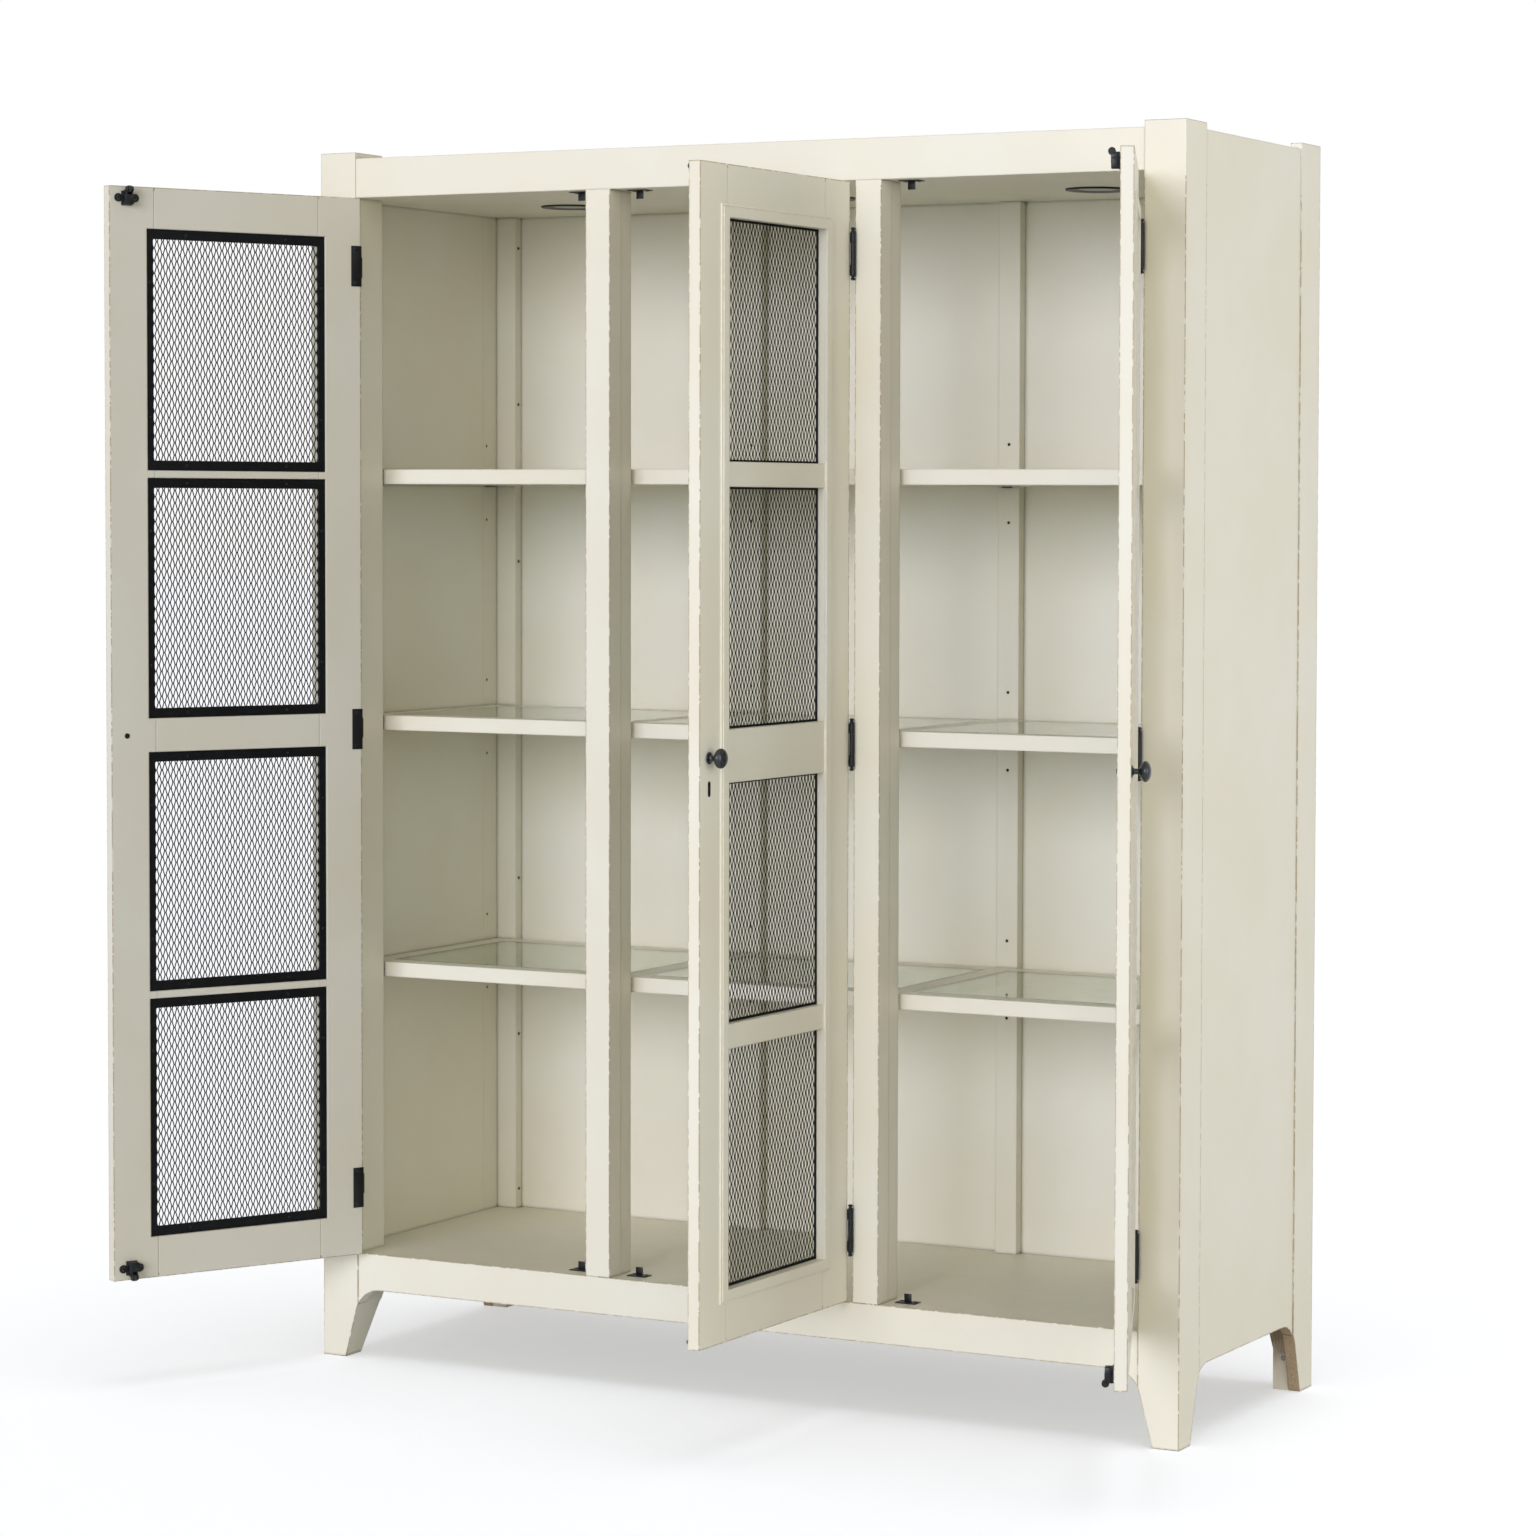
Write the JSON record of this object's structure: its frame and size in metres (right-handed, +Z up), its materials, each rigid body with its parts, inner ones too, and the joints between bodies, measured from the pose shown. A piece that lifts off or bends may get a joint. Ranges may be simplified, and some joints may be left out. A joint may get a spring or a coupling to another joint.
{
  "type": "pie safe cupboard",
  "caption": "Tall painted wooden cupboard with mesh-panelled hinged doors, glazed full-width shelves, roller catches and arched feet, shown with its doors open.",
  "frame": {"origin": "at floor level, in the plane of the back, halfway across the width", "axes": "+Z up, +Y out of the back towards the wall, +X to the right seen from the front"},
  "size_m": [1.8744, 0.9963, 2.045],
  "materials": {
    "painted_wood": "satin off-white paint, worn along the edges",
    "bare_wood": "unpainted",
    "black_metal": "satin black",
    "black_mesh_metal": "matt black",
    "zinc_steel": "plated",
    "black_plastic": "matt",
    "lens_plastic": "frosted",
    "shelf_glass": "clear with green edges"
  },
  "bodies": {
    "carcass": {"front_left_post": "painted_wood", "front_right_post": "painted_wood", "rear_left_stile": "painted_wood", "rear_right_stile": "painted_wood", "left_side_panel": "painted_wood", "right_side_panel": "painted_wood", "top_rail": "painted_wood", "bottom_rail": "painted_wood", "left_mullion": "painted_wood", "right_mullion": "painted_wood", "top_board": "painted_wood", "ceiling_board": "painted_wood", "floor_board": "painted_wood", "back_panels": "painted_wood", "rear_battens": "painted_wood", "rear_rails": "painted_wood", "rear_foot_blocks": "bare_wood", "foot_block_screws": "zinc_steel", "upper_shelf_frame": "painted_wood", "middle_shelf_frame": "painted_wood", "lower_shelf_frame": "painted_wood", "shelf_glass": "shelf_glass", "shelf_supports": "black_metal", "ceiling_light_rings": "black_metal", "ceiling_light_lenses": "lens_plastic", "catch_strikes": "black_metal", "left_frame_hinges": "black_metal", "middle_frame_hinges": "black_metal", "right_frame_hinges": "black_metal"},
    "left_door": {"left_door_stiles": "painted_wood", "left_door_rails": "painted_wood", "left_door_moulding": "painted_wood", "left_door_mesh_frames": "black_mesh_metal", "left_door_mesh_panels": "black_mesh_metal", "left_door_knob": "black_metal", "left_door_hinge_leaves": "black_metal", "left_door_catches": "black_metal"},
    "left_door_top_roller_body": {"left_door_top_roller": "black_plastic"},
    "left_door_bottom_roller_body": {"left_door_bottom_roller": "black_plastic"},
    "middle_door": {"middle_door_stiles": "painted_wood", "middle_door_rails": "painted_wood", "middle_door_moulding": "painted_wood", "middle_door_mesh_frames": "black_mesh_metal", "middle_door_mesh_panels": "black_mesh_metal", "middle_door_knob": "black_metal", "middle_door_hinge_leaves": "black_metal", "middle_door_catches": "black_metal"},
    "middle_door_top_roller_body": {"middle_door_top_roller": "black_plastic"},
    "middle_door_bottom_roller_body": {"middle_door_bottom_roller": "black_plastic"},
    "right_door": {"right_door_stiles": "painted_wood", "right_door_rails": "painted_wood", "right_door_moulding": "painted_wood", "right_door_mesh_frames": "black_mesh_metal", "right_door_mesh_panels": "black_mesh_metal", "right_door_knob": "black_metal", "right_door_hinge_leaves": "black_metal", "right_door_catches": "black_metal"},
    "right_door_top_roller_body": {"right_door_top_roller": "black_plastic"},
    "right_door_bottom_roller_body": {"right_door_bottom_roller": "black_plastic"}
  },
  "joints": [
    {"name": "left_door_hinge", "type": "hinge", "parent": "carcass", "child": "left_door", "pos_m": [-0.7285, -0.545, 1.07475], "axis": [0, 0, -1], "range_deg": [-117.8, 62.2]},
    {"name": "left_door_top_roller_spin", "type": "hinge", "parent": "left_door", "child": "left_door_top_roller_body", "pos_m": [-0.89191, -0.93534, 1.9611], "axis": [-0.4664, -0.8846, 0], "continuous": true},
    {"name": "left_door_bottom_roller_spin", "type": "hinge", "parent": "left_door", "child": "left_door_bottom_roller_body", "pos_m": [-0.89191, -0.93534, 0.1884], "axis": [-0.4664, -0.8846, 0], "continuous": true},
    {"name": "middle_door_hinge", "type": "hinge", "parent": "carcass", "child": "middle_door", "pos_m": [0.2265, -0.545, 1.07475], "axis": [0, 0, 1], "range_deg": [-89, 81]},
    {"name": "middle_door_top_roller_spin", "type": "hinge", "parent": "middle_door", "child": "middle_door_top_roller_body", "pos_m": [0.18165, -0.96578, 1.9611], "axis": [0.0175, 0.9998, 0], "continuous": true},
    {"name": "middle_door_bottom_roller_spin", "type": "hinge", "parent": "middle_door", "child": "middle_door_bottom_roller_body", "pos_m": [0.18165, -0.96578, 0.1884], "axis": [0.0175, 0.9998, 0], "continuous": true},
    {"name": "right_door_hinge", "type": "hinge", "parent": "carcass", "child": "right_door", "pos_m": [0.7285, -0.545, 1.07475], "axis": [0, 0, 1], "range_deg": [-113.8, 66.2]},
    {"name": "right_door_top_roller_spin", "type": "hinge", "parent": "right_door", "child": "right_door_top_roller_body", "pos_m": [0.86428, -0.94579, 1.9611], "axis": [-0.4035, 0.915, 0], "continuous": true},
    {"name": "right_door_bottom_roller_spin", "type": "hinge", "parent": "right_door", "child": "right_door_bottom_roller_body", "pos_m": [0.86428, -0.94579, 0.1884], "axis": [-0.4035, 0.915, 0], "continuous": true}
  ]
}
